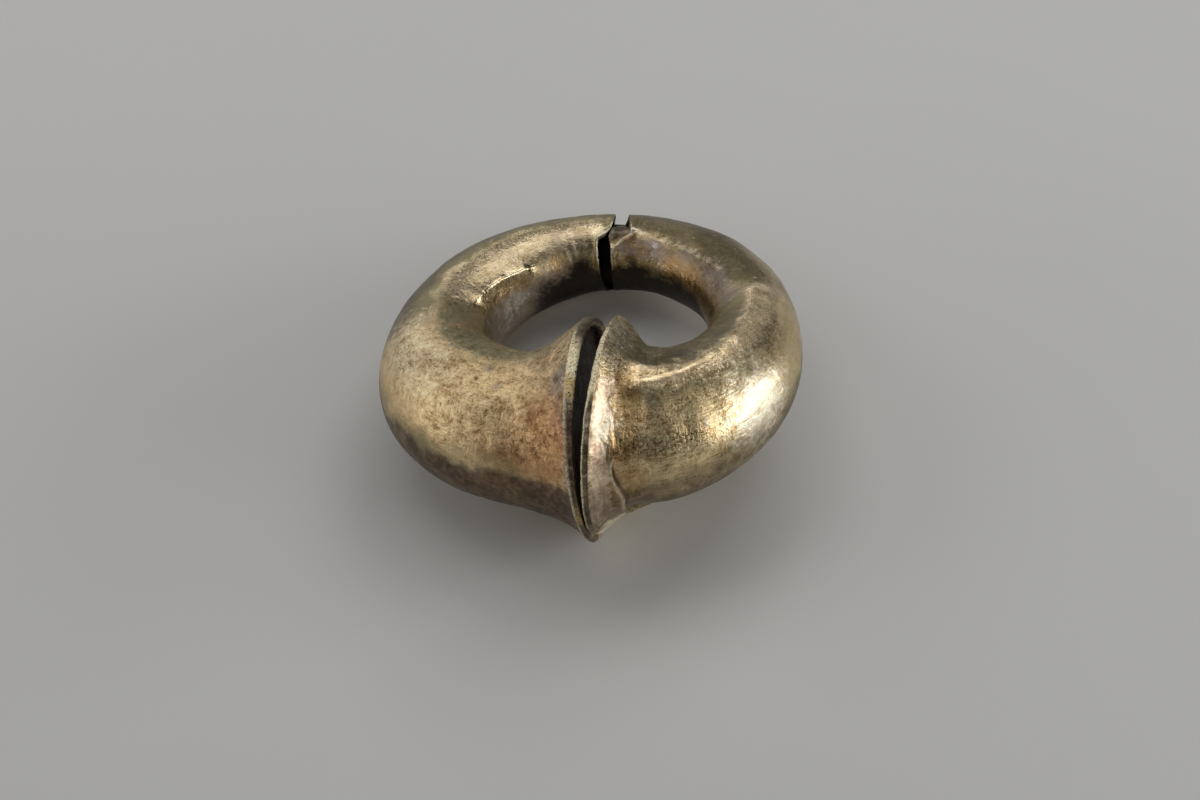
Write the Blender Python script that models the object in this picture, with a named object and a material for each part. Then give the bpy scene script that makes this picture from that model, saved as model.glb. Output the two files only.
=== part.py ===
"""Hollow ear ornament of gold alloy sheet: a slit ring whose arms swell from a thin back to two flared discs.

Metres, +Z up. The ring lies on its discs and its back, as it does when it is put down, with the slit
towards -Y, the floor at Z = 0 and the middle of its box on the Z axis.
"""

import math

import bmesh
import bpy
import numpy as np
from mathutils import Euler, Matrix, Vector

# The ring in its own plane: how far the middle of the tube is from the ring's middle, at shares of the
# half turn from the back (0) to the slit (1).
REACH_SHARES = (0.3, 0.6, 0.8, 1.0)
BACK_REACH = 0.0126
LEFT_REACH = (0.01206, 0.01195, 0.01103, 0.00965)
RIGHT_REACH = (0.01218, 0.0118, 0.01121, 0.0096)

# Outer radius of the tube, at other shares of the same half turn.
TUBE_SHARES = (0.25, 0.5, 0.65, 0.8, 0.9)
BACK_TUBE = 0.00294
LEFT_TUBE = (0.00365, 0.00427, 0.0053, 0.00565, 0.0059)
RIGHT_TUBE = (0.00317, 0.00366, 0.00461, 0.00547, 0.00592)

# The sheet that the tube and the end plates are made of.
WALL = 0.00045

# The flared discs: where the flare starts, how late it opens, and the disc it ends in.
LEFT_DISC_RADIUS = 0.0083
RIGHT_DISC_RADIUS = 0.00806
LEFT_FLARE_START = 0.85
RIGHT_FLARE_START = 0.87
LEFT_FLARE_POWER = 1.62
RIGHT_FLARE_POWER = 1.45

# The end faces, as planes: distance of the middle from the ring's plane of symmetry, turn about the
# vertical, and lean of the top. The turned-over edge is thicker at the top than at the bottom.
LEFT_FACE_X = 0.00038
RIGHT_FACE_X = 0.00122
LEFT_FACE_TURN = math.radians(6.3)
RIGHT_FACE_TURN = math.radians(8.8)
LEFT_FACE_LEAN = math.radians(-1.7)
RIGHT_FACE_LEAN = math.radians(3.1)
LEFT_EDGE = 0.0004
RIGHT_EDGE = 0.0004
LEFT_EDGE_TAPER = 0.03
LEFT_DISC_SHIFT = (0.00013, -0.00033)
RIGHT_DISC_SHIFT = (-0.00017, 0.00026)
EDGE_WIDTH = 0.0006
PLATE_DEPTH = 0.0007
BEND_START = 0.7

# The crack across the back, as its left and right edges at angles round the tube: 0 is outwards, 90 is
# up and 180 faces the hole. The sheet is whole below the first angle and past the last.
CRACK_ANGLES = (10, 55, 90, 108, 118, 125, 135, 165, 200, 225, 240)
CRACK_LEFT = (0.00095, 0.00092, 0.0009, 0.00068, 0.00038, 0.0, -0.00018, -0.00018, -0.00005, 0.0001, 0.00026)
CRACK_RIGHT = (0.00195, 0.00187, 0.00208, 0.00217, 0.00165, 0.0009, 0.00062, 0.00063, 0.00058, 0.0005, 0.00034)

# How the ring lies: the lean to its left, how steeply it can pitch forward onto its discs, and the depth of
# the worn flats that it rests on.
LEAN = math.radians(4.5)
STEEPEST_PITCH = math.radians(-40)
PITCH_HALVINGS = 40
FLAT_DEPTH = 0.00016

# How finely the skin and the hollow are divided, the step over which slopes are read as a share of the half
# turn, and the angle past which an edge is sharp.
AROUND = 40
AROUND_INSIDE = 24
STATIONS = 30
FLARE_STATIONS = 9
STATIONS_INSIDE = 22
SLOPE_STEP = 0.001
SHARP_ANGLE = math.radians(40)


def clear_scene():
    for obj in list(bpy.data.objects):
        bpy.data.objects.remove(obj, do_unlink=True)


def spline(knots, values, at):
    """A cubic spline through the values with level ends, read at the given places."""
    x = np.array(knots)
    y = np.array(values)
    step = np.diff(x)
    rise = np.diff(y) / step
    count = len(x)
    system = np.eye(count)
    slopes = np.zeros(count)
    for i in range(1, count - 1):
        system[i, i - 1] = 1 / step[i - 1]
        system[i, i] = 2 / step[i - 1] + 2 / step[i]
        system[i, i + 1] = 1 / step[i]
        slopes[i] = 3 * (rise[i - 1] / step[i - 1] + rise[i] / step[i])
    slopes = np.linalg.solve(system, slopes)
    i = np.clip(np.searchsorted(x, at) - 1, 0, count - 2)
    t = (at - x[i]) / step[i]
    start = y[i] * (1 + 2 * t) + slopes[i] * step[i] * t
    end = y[i + 1] * (3 - 2 * t) + slopes[i + 1] * step[i] * (t - 1)
    return start * (1 - t) ** 2 + end * t**2


def round_the_ring(shares, left, back, right, at):
    """One smooth value round the whole ring, from the left end at -1 to the right end at 1."""
    knots = [-share for share in reversed(shares)] + [0] + list(shares)
    return spline(knots, list(reversed(left)) + [back] + list(right), at)


def tube_radius(at):
    last = TUBE_SHARES + (1.0,)
    plain = round_the_ring(last, LEFT_TUBE + LEFT_TUBE[-1:], BACK_TUBE, RIGHT_TUBE + RIGHT_TUBE[-1:], at)
    left_open = np.clip((-at - LEFT_FLARE_START) / (1 - LEFT_FLARE_START), 0, 1)
    right_open = np.clip((at - RIGHT_FLARE_START) / (1 - RIGHT_FLARE_START), 0, 1)
    plain += (LEFT_DISC_RADIUS - LEFT_TUBE[-1]) * left_open**LEFT_FLARE_POWER
    plain += (RIGHT_DISC_RADIUS - RIGHT_TUBE[-1]) * right_open**RIGHT_FLARE_POWER
    return plain


def face_x(right, off_y, off_z):
    """Where the plane of an end face is, at a place given from the middle of its disc."""
    middle = RIGHT_FACE_X if right else LEFT_FACE_X
    turn = RIGHT_FACE_TURN if right else LEFT_FACE_TURN
    lean = RIGHT_FACE_LEAN if right else LEFT_FACE_LEAN
    return middle + math.tan(turn) * off_y + math.tan(lean) * off_z


def edge_x(right, off_y, off_z):
    """Where the flare meets the disc's turned-over edge, on the side away from the slit."""
    if right:
        return face_x(right, off_y, off_z) + RIGHT_EDGE
    return face_x(right, off_y, off_z) - LEFT_EDGE - LEFT_EDGE_TAPER * off_z


def section(at, inset, count):
    """One cross-section of the tube: its points, inside the outer surface by the inset."""
    near = np.array([at - SLOPE_STEP, at, at + SLOPE_STEP])
    reach = round_the_ring(REACH_SHARES, LEFT_REACH, BACK_REACH, RIGHT_REACH, near)
    turn = math.pi * near
    path = [Vector((r * math.sin(a), r * math.cos(a), 0)) for r, a in zip(reach, turn)]
    along = (path[2] - path[0]).normalized()
    outward = Vector((-along.y, along.x, 0))
    radius = tube_radius(near)
    slope = (radius[2] - radius[0]) / (path[2] - path[0]).length
    arm_length = float(radius[1] - inset * math.hypot(1, slope))
    shift_y, shift_z = RIGHT_DISC_SHIFT if at > 0 else LEFT_DISC_SHIFT
    bend = max((abs(at) - BEND_START) / (1 - BEND_START), 0) ** 2
    points = []
    for i in range(count):
        angle = 2 * math.pi * i / count
        arm = arm_length * (math.cos(angle) * outward + math.sin(angle) * Vector((0, 0, 1)))
        bent = Vector((edge_x(at > 0, arm.y, arm.z), shift_y, shift_z))
        points.append(path[1] + arm + bend * bent)
    return points


def end_rings(last, right):
    """The disc's edge, its inner lip and the sunken end plate, from the last cross-section inwards."""
    middle = sum(last, Vector()) / len(last)
    radius = (last[0] - middle).yz.length
    depth = PLATE_DEPTH if right else -PLATE_DEPTH
    rings = []
    for share, sunk in ((1, 0), (1 - EDGE_WIDTH / radius, 0), (1 - EDGE_WIDTH / radius, depth)):
        ring = []
        for point in last:
            off = (point - middle) * share
            ring.append(Vector((face_x(right, off.y, off.z) + sunk, middle.y + off.y, middle.z + off.z)))
        rings.append(ring)
    return rings


def loft(name, rings):
    """A closed skin through rings of equal counts, with a fan over each end."""
    mesh = bpy.data.meshes.new(name)
    work = bmesh.new()
    rows = [[work.verts.new(point) for point in ring] for ring in rings]
    for row, after in zip(rows, rows[1:]):
        for i in range(len(row)):
            j = (i + 1) % len(row)
            work.faces.new((row[i], row[j], after[j], after[i]))
    for row in (rows[0], rows[-1]):
        middle = work.verts.new(sum((vert.co for vert in row), Vector()) / len(row))
        for i in range(len(row)):
            work.faces.new((row[i], row[(i + 1) % len(row)], middle))
    bmesh.ops.recalc_face_normals(work, faces=work.faces)
    work.to_mesh(mesh)
    work.free()
    obj = bpy.data.objects.new(name, mesh)
    bpy.context.scene.collection.objects.link(obj)
    return obj


def skin_stations():
    """Places along the ring, closer together where the arms flare."""
    body = np.linspace(0, LEFT_FLARE_START, STATIONS).tolist()
    flare = np.linspace(LEFT_FLARE_START, 1, FLARE_STATIONS).tolist()
    half = body[:-1] + flare
    return [-share for share in reversed(half[1:])] + half


def skin():
    rings = [section(at, 0, AROUND) for at in skin_stations()]
    left = end_rings(rings[0], False)
    right = end_rings(rings[-1], True)
    return loft("ring", list(reversed(left)) + rings + right)


def cavity():
    """The hollow: the tube's inside, stopped short of the sunken end plates by their sheet."""
    front = LEFT_REACH[-1] * math.pi
    swing = math.tan(RIGHT_FACE_TURN) * RIGHT_DISC_RADIUS * (1 - BEND_START)
    stop = 1 - (PLATE_DEPTH + WALL + swing) / front
    stations = np.linspace(-stop, stop, 2 * STATIONS_INSIDE + 1).tolist()
    rings = [section(at, WALL, AROUND_INSIDE) for at in stations]
    return loft("hollow", rings)


def crack_cutter():
    """What the crack and the lost chip take out of the sheet, as a band that passes through it all the way."""
    under = BACK_TUBE - 2 * WALL
    over = BACK_TUBE + 2 * WALL
    rings = []
    for angle, left, right in zip(CRACK_ANGLES, CRACK_LEFT, CRACK_RIGHT):
        out = math.cos(math.radians(angle))
        up = math.sin(math.radians(angle))
        corners = ((left, under), (right, under), (right, over), (left, over))
        rings.append([Vector((side, BACK_REACH + radius * out, radius * up)) for side, radius in corners])
    return loft("crack_gap", rings)


def resting_turn(points):
    """The turn that lays the ring on its discs and its back together, leaning to its left."""
    steepest = STEEPEST_PITCH
    flattest = 0.0
    for _ in range(PITCH_HALVINGS):
        pitch = (steepest + flattest) / 2
        turn = Euler((0, -LEAN, 0)).to_matrix()
        turn.rotate(Euler((pitch, 0, 0)))
        turned = [turn @ point for point in points]
        front = min(point.z for point in turned if point.y < 0)
        back = min(point.z for point in turned if point.y > 0)
        if front < back:
            flattest = pitch
        else:
            steepest = pitch
    return turn


def resting_place(points):
    """The matrix that lays the ring down with its worn flats on the floor, its box over the origin."""
    turn = resting_turn(points)
    turned = [turn @ point for point in points]
    low = Vector([min(point[i] for point in turned) for i in range(3)])
    high = Vector([max(point[i] for point in turned) for i in range(3)])
    middle = (low + high) / 2
    shift = Vector((-middle.x, -middle.y, -low.z - FLAT_DEPTH))
    return Matrix.Translation(shift) @ turn.to_4x4()


def floor_cutter(size):
    """A block whose top is the floor, wider than the ring."""
    mesh = bpy.data.meshes.new("floor_block")
    work = bmesh.new()
    bmesh.ops.create_cube(work, size=1)
    bmesh.ops.scale(work, vec=(2 * size, 2 * size, size), verts=work.verts)
    bmesh.ops.translate(work, vec=(0, 0, -size / 2), verts=work.verts)
    work.to_mesh(mesh)
    work.free()
    obj = bpy.data.objects.new("floor_block", mesh)
    bpy.context.scene.collection.objects.link(obj)
    return obj


def cut(obj, cutter):
    cutter.hide_render = True
    cutter.display_type = "WIRE"
    boolean = obj.modifiers.new(cutter.name, "BOOLEAN")
    boolean.operation = "DIFFERENCE"
    boolean.solver = "EXACT"
    boolean.object = cutter


def gold_alloy():
    material = bpy.data.materials.new("gold_alloy")
    material.use_nodes = True
    shader = material.node_tree.nodes["Principled BSDF"]
    shader.inputs["Base Color"].default_value = (0.46, 0.34, 0.17, 1)
    shader.inputs["Metallic"].default_value = 1.0
    shader.inputs["Roughness"].default_value = 0.38
    return material


def main():
    clear_scene()
    ring = skin()
    hollow = cavity()
    gap = crack_cutter()
    place = resting_place([vert.co.copy() for vert in ring.data.vertices])
    for obj in (ring, hollow, gap):
        obj.data.transform(place)
    cut(ring, hollow)
    cut(ring, gap)
    cut(ring, floor_cutter(4 * BACK_REACH))
    ring.data.materials.append(gold_alloy())
    ring.data.shade_smooth()
    ring.data.set_sharp_from_angle(angle=SHARP_ANGLE)


main()
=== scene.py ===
"""The looks of the ear ornament: a worn, cracked slit ring of gold alloy sheet on a pale floor in soft light.

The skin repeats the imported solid's form at a finer step and adds what is too fine for it: the crest and the
dents of the hammered arms, the lapped collar on the right flange, the rolled lips of the crack, and the rough
edges of the discs. Metres, +Z up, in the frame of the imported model.
"""

import math

import bpy
import numpy as np
from mathutils import Euler, Matrix, Vector, noise


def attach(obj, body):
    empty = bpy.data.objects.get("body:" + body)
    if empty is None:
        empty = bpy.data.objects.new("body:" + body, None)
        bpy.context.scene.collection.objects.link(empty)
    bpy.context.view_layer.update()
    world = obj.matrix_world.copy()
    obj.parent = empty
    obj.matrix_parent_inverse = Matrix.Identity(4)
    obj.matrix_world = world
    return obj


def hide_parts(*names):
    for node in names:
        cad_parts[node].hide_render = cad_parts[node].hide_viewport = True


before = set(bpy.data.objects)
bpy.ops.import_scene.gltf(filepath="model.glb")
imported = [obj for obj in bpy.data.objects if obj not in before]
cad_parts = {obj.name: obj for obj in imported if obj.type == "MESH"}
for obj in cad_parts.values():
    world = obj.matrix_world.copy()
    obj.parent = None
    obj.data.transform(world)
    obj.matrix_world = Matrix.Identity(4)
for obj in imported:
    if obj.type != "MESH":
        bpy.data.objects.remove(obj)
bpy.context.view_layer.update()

MM = 0.001

# The ring in its own plane: how far the middle of the tube is from the ring's middle, at shares of the
# half turn from the back (0) to the slit (1).
REACH_SHARES = (0.3, 0.6, 0.8, 1.0)
BACK_REACH = 0.0126
LEFT_REACH = (0.01206, 0.01195, 0.01103, 0.00965)
RIGHT_REACH = (0.01218, 0.0118, 0.01121, 0.0096)

# Outer radius of the tube, at other shares of the same half turn.
TUBE_SHARES = (0.25, 0.5, 0.65, 0.8, 0.9, 1.0)
BACK_TUBE = 0.00294
LEFT_TUBE = (0.00365, 0.00427, 0.0053, 0.00565, 0.0059, 0.0059)
RIGHT_TUBE = (0.00317, 0.00366, 0.00461, 0.00547, 0.00592, 0.00592)
EVEN_TUBE = 0.0045
WALL = 0.00045

# The flared discs and the planes of their end faces, left then right.
DISC_RADIUS = (0.0083, 0.00806)
FLARE_START = (0.85, 0.87)
FLARE_POWER = (1.62, 1.45)
FACE_X = (0.00038, 0.00122)
FACE_TURN = (math.radians(6.3), math.radians(8.8))
FACE_LEAN = (math.radians(-1.7), math.radians(3.1))
EDGE = 0.0004
LEFT_EDGE_TAPER = 0.03
DISC_SHIFT = ((0.00013, -0.00033), (-0.00017, 0.00026))
EDGE_WIDTH = 0.0006
RIGHT_EDGE_THINNER = 0.00016
TOP_WEAR = 0.0002
PLATE_DEPTH = 0.0007
BEND_START = 0.7
LEFT = 0
RIGHT = 1
SIDES = ((LEFT, -1), (RIGHT, 1))

# The crack in millimetres: its left and right edges at angles round the tube, where 0 is outwards, 90 up and
# 180 faces the hole. High up, a tongue of the sheet stays between the right edge and the lip it is torn from.
CRACK_ANGLES = (10, 55, 66, 76, 82, 92, 107, 114, 118, 122, 135, 150, 170, 200, 225, 240)
CRACK_LEFT = (
    0.55, 0.78, 0.93, 0.9, 0.87, 0.82, 0.62, 0.36, -0.05, -0.36, -0.44, -0.42, -0.38, -0.2, 0.02, 0.26,
)
CRACK_RIGHT = (2.05, 2.0, 1.86, 1.8, 0.75, 0.62, 0.52, 0.43, 0.44, 0.5, 0.62, 0.62, 0.62, 0.55, 0.5, 0.34)
LIP_RIGHT = (2.05, 2.0, 1.96, 1.97, 2.05, 2.16, 2.27, 2.2, 1.95, 1.62, 0.9, 0.66, 0.64, 0.55, 0.5, 0.34)
CRACK_RAGGED = 0.04
TONGUE_ANGLES = (58, 66, 107, 120, 132, 140)
TONGUE_DEPTHS = (0.0, 0.75, 0.55, 0.36, 0.2, 0.0)
TONGUE_STEP = 0.14

# The crack bends the skin's lines up to this share from the back, and its forms end at the other.
CRACK_PULL = 0.25
CRACK_END = 0.2

# High up, the left wall of the crack leans back under its edge by this much of the half turn, between a first
# and a last angle with their fade.
UNDERCUT = 0.0075
UNDERCUT_ANGLES = (64, 112, 6)

# The edge of the collar sheet that is lapped over the right arm: its share of the half turn, at angles.
LAP_ANGLES = (-31, -20, -4, 10, 26, 38, 54, 76, 100, 180, 260, 300, 329)
LAP_SHARES = (0.9183, 0.9158, 0.925, 0.935, 0.9275, 0.9333, 0.9317, 0.9525, 0.945, 0.94, 0.935, 0.925, 0.9183)
LAP_MIDDLE = 0.93
LAP_HEIGHT = 0.00024
LAP_STEP = 0.0018
LAP_EASE = 0.007
LAP_BEAD = 0.00003
CORNER_DROP = 0.0003

# Low down, the arm narrows just before the collar: shares between which it does, then first and last angle
# with their fade.
NECK_DEPTH = 0.0006
NECK_SHARES = (0.86, 0.93)
NECK_ANGLES = (-85, -34, 16)

# How the ring lies.
LEAN = math.radians(4.5)
STEEPEST_PITCH = math.radians(-40)
PITCH_HALVINGS = 40
FLAT_DEPTH = 0.00016

# The discs' edges: the rounding of the outer corner and of the lip over the plate, as they are and what wear
# adds to it, then the depth of the roughness across the edge and along the ring.
CORNER = (0.0001, 0.00018)
LIP_ROUND = (0.00011, 0.00014)
EDGE_ROUGH = (0.00005, 0.00004)

# How finely the skin is divided. The lip is the last rows of the left and of the right disc's edge.
AROUND = 200
UPPER_CLOSENESS = 0.5
STATIONS = 190
STATIONS_INSIDE = 26
PLATE_RINGS = 9
PLATE_ROWS = PLATE_RINGS + 1
LIP_ROWS = (3, 9)
FINE_SHARES = 4001
FINE_ANGLES = 3601
SLOPE_STEP = 0.001
NORMAL_STEP = 0.002
SHARP_ANGLE = math.radians(40)

# The parts of the skin that are told apart after it is built.
SKIN, ARRIS, RIM, LIP, PLATE, WALL_STRIP, INSIDE = range(7)


def spline(knots, values, at):
    """A cubic spline through the values with level ends, read at the given places."""
    x, y = np.array(knots), np.array(values)
    step = np.diff(x)
    rise = np.diff(y) / step
    before, after = 1 / step[:-1], 1 / step[1:]
    system = np.diag([1, *(2 * before + 2 * after), 1]) + np.diag([*before, 0], -1) + np.diag([0, *after], 1)
    slopes = np.linalg.solve(system, [0, *(3 * (rise[:-1] * before + rise[1:] * after)), 0])
    i = np.clip(np.searchsorted(x, at) - 1, 0, len(x) - 2)
    t = (at - x[i]) / step[i]
    start = y[i] * (1 + 2 * t) + slopes[i] * step[i] * t
    end = y[i + 1] * (3 - 2 * t) + slopes[i + 1] * step[i] * (t - 1)
    return start * (1 - t) ** 2 + end * t**2


def round_the_ring(shares, left, back, right, at):
    """One smooth value round the whole ring, from the left end at -1 to the right end at 1."""
    knots = [-share for share in reversed(shares)] + [0] + list(shares)
    return spline(knots, list(reversed(left)) + [back] + list(right), at)


def tube_radius(at):
    plain = round_the_ring(TUBE_SHARES, LEFT_TUBE, BACK_TUBE, RIGHT_TUBE, at)
    for side, end in SIDES:
        tube_end = (LEFT_TUBE, RIGHT_TUBE)[side][-1]
        opened = np.clip((end * at - FLARE_START[side]) / (1 - FLARE_START[side]), 0, 1)
        plain = plain + (DISC_RADIUS[side] - tube_end) * opened ** FLARE_POWER[side]
    return plain


def middle_line(at):
    reach = round_the_ring(REACH_SHARES, LEFT_REACH, BACK_REACH, RIGHT_REACH, at)
    return np.stack([reach * np.sin(math.pi * at), reach * np.cos(math.pi * at), 0 * at], -1)


def face_x(side, off_y, off_z):
    """Where the plane of an end face is, at a place given from the middle of its disc."""
    return FACE_X[side] + math.tan(FACE_TURN[side]) * off_y + math.tan(FACE_LEAN[side]) * off_z


def edge_thickness(side, off_z):
    return EDGE + (LEFT_EDGE_TAPER * off_z if side == LEFT else 0 * off_z)


def surface(at, angle, inset=0.0):
    """Points on the tube or, by the inset, under it, at shares of the half turn and angles round it."""
    at, angle = np.broadcast_arrays(at, angle)
    along = middle_line(at + SLOPE_STEP) - middle_line(at - SLOPE_STEP)
    length = np.linalg.norm(along, axis=-1)
    outward = np.stack([-along[..., 1], along[..., 0], 0 * at], -1) / length[..., None]
    slope = (tube_radius(at + SLOPE_STEP) - tube_radius(at - SLOPE_STEP)) / length
    radius = tube_radius(at) - inset * np.hypot(1, slope)
    up = np.array((0.0, 0.0, 1.0))
    arm = radius[..., None] * (np.cos(angle)[..., None] * outward + np.sin(angle)[..., None] * up)
    bend = np.clip((np.abs(at) - BEND_START) / (1 - BEND_START), 0, None) ** 2
    ends = []
    for side, sign in SIDES:
        edge = face_x(side, arm[..., 1], arm[..., 2]) + sign * edge_thickness(side, arm[..., 2])
        shift = DISC_SHIFT[side]
        ends.append(np.stack([edge, 0 * edge + shift[0], 0 * edge + shift[1]], -1))
    end = np.where((at > 0)[..., None], ends[RIGHT], ends[LEFT])
    return middle_line(at) + arm + bend[..., None] * end


def unit(vectors):
    return vectors / np.linalg.norm(vectors, axis=-1, keepdims=True)


def surface_normal(at, angle):
    step = NORMAL_STEP
    along = surface(at + step, angle) - surface(at - step, angle)
    around = surface(at, angle + step) - surface(at, angle - step)
    return unit(np.cross(around, along))


def smooth_step(start, end, at):
    t = np.clip((at - start) / (end - start), 0, 1)
    return t * t * (3 - 2 * t)


def window(low, high, fade, at):
    """1 between low and high, fading to 0 over the given reach outside them."""
    return smooth_step(low - fade, low, at) * (1 - smooth_step(high, high + fade, at))


def bump(distance, width):
    return np.exp(-((distance / width) ** 2))


def rough(points, size, octaves=1, seed=0.0):
    """Smooth noise from -1 to 1 at each point, with lumps of about the given size."""
    flat = points.reshape(-1, 3) / size + seed
    values = [noise.fractal(Vector(p), 1.0, 2.0, octaves) for p in flat.tolist()]
    return np.array(values).reshape(points.shape[:-1])


def degrees_round(angle):
    """The angle in degrees, from -60 to 300, so that no feature on the upper side is cut by the seam."""
    return (np.degrees(angle) + 60) % 360 - 60


# The relief of the hammered sheet

# Crests that run along the arms: shares and angles of their points, then in millimetres their height, their
# flanks towards the hole and away from it and the bluntness of their tip, then their ends and the ends' fade.
CRESTS = (
    (
        (0.38, 0.43, 0.483, 0.544, 0.609, 0.647, 0.7, 0.758, 0.805, 0.845, 0.93),
        (90, 88, 88, 87, 85, 83, 81, 78, 73, 70, 66),
        (0.55, 1.1, 1.2, 0.62),
        (0.47, 0.72, 0.05),
    ),
    (
        (0.7, 0.758, 0.805, 0.845, 0.885, 0.93),
        (81, 78, 73, 70, 67, 66),
        (0.48, 0.8, 0.95, 0.3),
        (0.77, 0.875, 0.05),
    ),
    ((0.76, 0.82, 0.86, 0.887, 0.93), (80, 80, 80, 82, 75), (0.14, 0.45, 0.4, 0.16), (0.83, 0.89, 0.02)),
    (
        (-0.44, -0.40, -0.296, -0.215, -0.18, -0.14),
        (131, 131, 133.5, 140, 145, 150),
        (0.36, 0.42, 0.4, 0.1),
        (-0.39, -0.225, 0.04),
    ),
)
TROUGH_DEPTH = 0.00006
WALL_DENT = 0.00022

# Round dents and lumps: share of the half turn, angle in degrees, radius and height in millimetres.
SPOTS = (
    (0.818, 52, 1.9, -0.08), (0.798, 33, 0.7, 0.05), (0.772, 27, 0.45, -0.03), (0.0758, 158, 0.5, -0.17),
    (-0.212, 140, 0.5, 0.06), (-0.62, 106, 2.2, -0.12), (0.045, 107, 0.35, 0.09), (-0.76, 60, 2.5, 0.04),
    (-0.5, 100, 1.6, -0.05), (0.3, 60, 1.6, -0.05), (0.2, 100, 1.2, 0.05), (0.45, 20, 2.2, -0.05),
    (-0.3, 40, 2.0, 0.05), (-0.797, 85, 0.42, -0.035), (-0.828, 70, 0.28, -0.04), (-0.764, 37, 0.3, -0.03),
    (-0.796, 38, 0.34, -0.025), (-0.727, 56, 0.3, -0.025), (-0.2, 93, 0.32, -0.04),
    (-0.329, 100, 0.3, -0.025), (-0.122, 94, 0.26, -0.025), (-0.096, 92, 0.26, -0.03),
)

# Short wrinkles that cross the tube: share, first and last angle, width and height in millimetres.
WRINKLES = (
    (0.803, 20, 50, 0.5, 0.055), (0.774, 22, 46, 0.35, -0.04), (0.87, 35, 55, 0.7, -0.05),
    (0.84, 15, 40, 0.5, 0.03), (-0.0925, 138, 154, 0.14, 0.022), (-0.083, 128, 150, 0.17, -0.015),
    (-0.0742, 112, 134, 0.14, 0.022), (-0.064, 106, 146, 0.2, -0.02), (-0.045, 112, 156, 0.25, 0.012),
)


def away_from_line(at, angle, shares, angles):
    """Distance round the tube from a line that runs along it; positive towards the hole."""
    return tube_radius(at) * np.radians(degrees_round(angle) - np.interp(at, shares, angles))


def crest(away, flanks, tip):
    """A blunt-tipped crest, whose flanks towards and away from the hole die out over their own reaches."""
    blunt = np.hypot(away, tip) - tip
    return np.exp(-blunt / np.where(away > 0, flanks[0], flanks[1]))


def relief(at, angle, points):
    """Height of the worked surface over the smooth form."""
    height = 0.00006 * rough(points, 6 * MM, 2) + 0.00004 * rough(points, 2.2 * MM, 2, 7.0)
    height += 0.000011 * rough(points, 0.8 * MM, 2, 13.0)
    wander = 0.2 * MM * rough(points, 2.6 * MM, 2, 17.0)
    broken = 1 + 0.16 * rough(points, 2.0 * MM, 2, 27.0)
    for shares, angles, (rise, inner, outer, tip), (first, last, fade) in CRESTS:
        away = away_from_line(at, angle, shares, angles) + wander * min(1, 2 * rise)
        line = crest(away, (inner * MM, outer * MM), tip * MM)
        height += window(first, last, fade, at) * rise * MM * line * (1 + (broken - 1) * line**2)

    main_crest, *_, crease = CRESTS
    trough = bump(away_from_line(at, angle, *main_crest[:2]) + 2.3 * MM, 1.2 * MM)
    height -= TROUGH_DEPTH * window(0.43, 0.9, 0.05, at) * trough
    under = bump(away_from_line(at, angle, *crease[:2]) - 2.0 * MM, 1.3 * MM)
    height -= WALL_DENT * window(-0.41, -0.2, 0.035, at) * under

    for share, degrees, radius, rise in SPOTS:
        middle = surface(share, math.radians(degrees))
        height += rise * MM * bump(np.linalg.norm(points - middle, axis=-1), radius * MM)

    for share, first, last, width, rise in WRINKLES:
        across = (at - share) * math.pi * (BACK_REACH + tube_radius(at) * np.cos(angle)) + 0.5 * wander
        height += window(first, last, 9, degrees_round(angle)) * rise * MM * bump(across, width * MM)
    return height


def lap_share(angle):
    degrees = (np.degrees(angle) + 31) % 360 - 31
    plain = spline(LAP_ANGLES, LAP_SHARES, degrees)
    circle = [Vector((math.cos(a) * 9, math.sin(a) * 9, 3.0)) for a in angle.tolist()]
    return plain + 0.0012 * np.array([noise.fractal(place, 1.0, 2.0, 3) for place in circle])


def collar(at, lap, angle):
    """The collar sheet's rise over the right arm: steep and high low down, an eased step further up."""
    degrees = degrees_round(angle)
    low_down = 1 - smooth_step(16, 40, degrees)
    shown = 0.1 + 0.9 * low_down
    step = LAP_EASE + (LAP_STEP - LAP_EASE) * low_down
    over = np.clip((at - lap) / step, 0, 1)
    towards_rim = np.clip((at - lap) / (1 - lap), 0, 1)
    bead = LAP_BEAD * low_down * bump(at - lap - 2 * LAP_STEP, 1.5 * LAP_STEP)
    corner = CORNER_DROP * bump(at - LAP_MIDDLE, 0.03) * window(-80, -36, 16, degrees)
    return LAP_HEIGHT * shown * over * (1 - towards_rim) + bead + over * neck_drop(at, angle) - over * corner


def neck_drop(at, angle):
    """How far the arm is drawn in under the collar's lower edge."""
    first, last, fade = NECK_ANGLES
    along = smooth_step(*NECK_SHARES, at) * (1 - smooth_step(0.95, 0.99, at))
    return NECK_DEPTH * along * window(first, last, fade, degrees_round(angle))


def across_crack(at, angle):
    """Distance from the plane through the middle of the back, along the tube."""
    return (BACK_REACH + BACK_TUBE * np.cos(angle)) * np.sin(math.pi * at)


def tongue_drop(at, angle):
    """How far the tongue of sheet beside the crack is pressed in."""
    degrees = degrees_round(angle)
    lip = np.interp(degrees, CRACK_ANGLES, LIP_RIGHT) * MM
    depth = np.interp(degrees, TONGUE_ANGLES, TONGUE_DEPTHS) * MM
    near = np.abs(at) < CRACK_END
    return near * depth * (1 - smooth_step(lip - TONGUE_STEP * MM, lip, across_crack(at, angle)))


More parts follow.
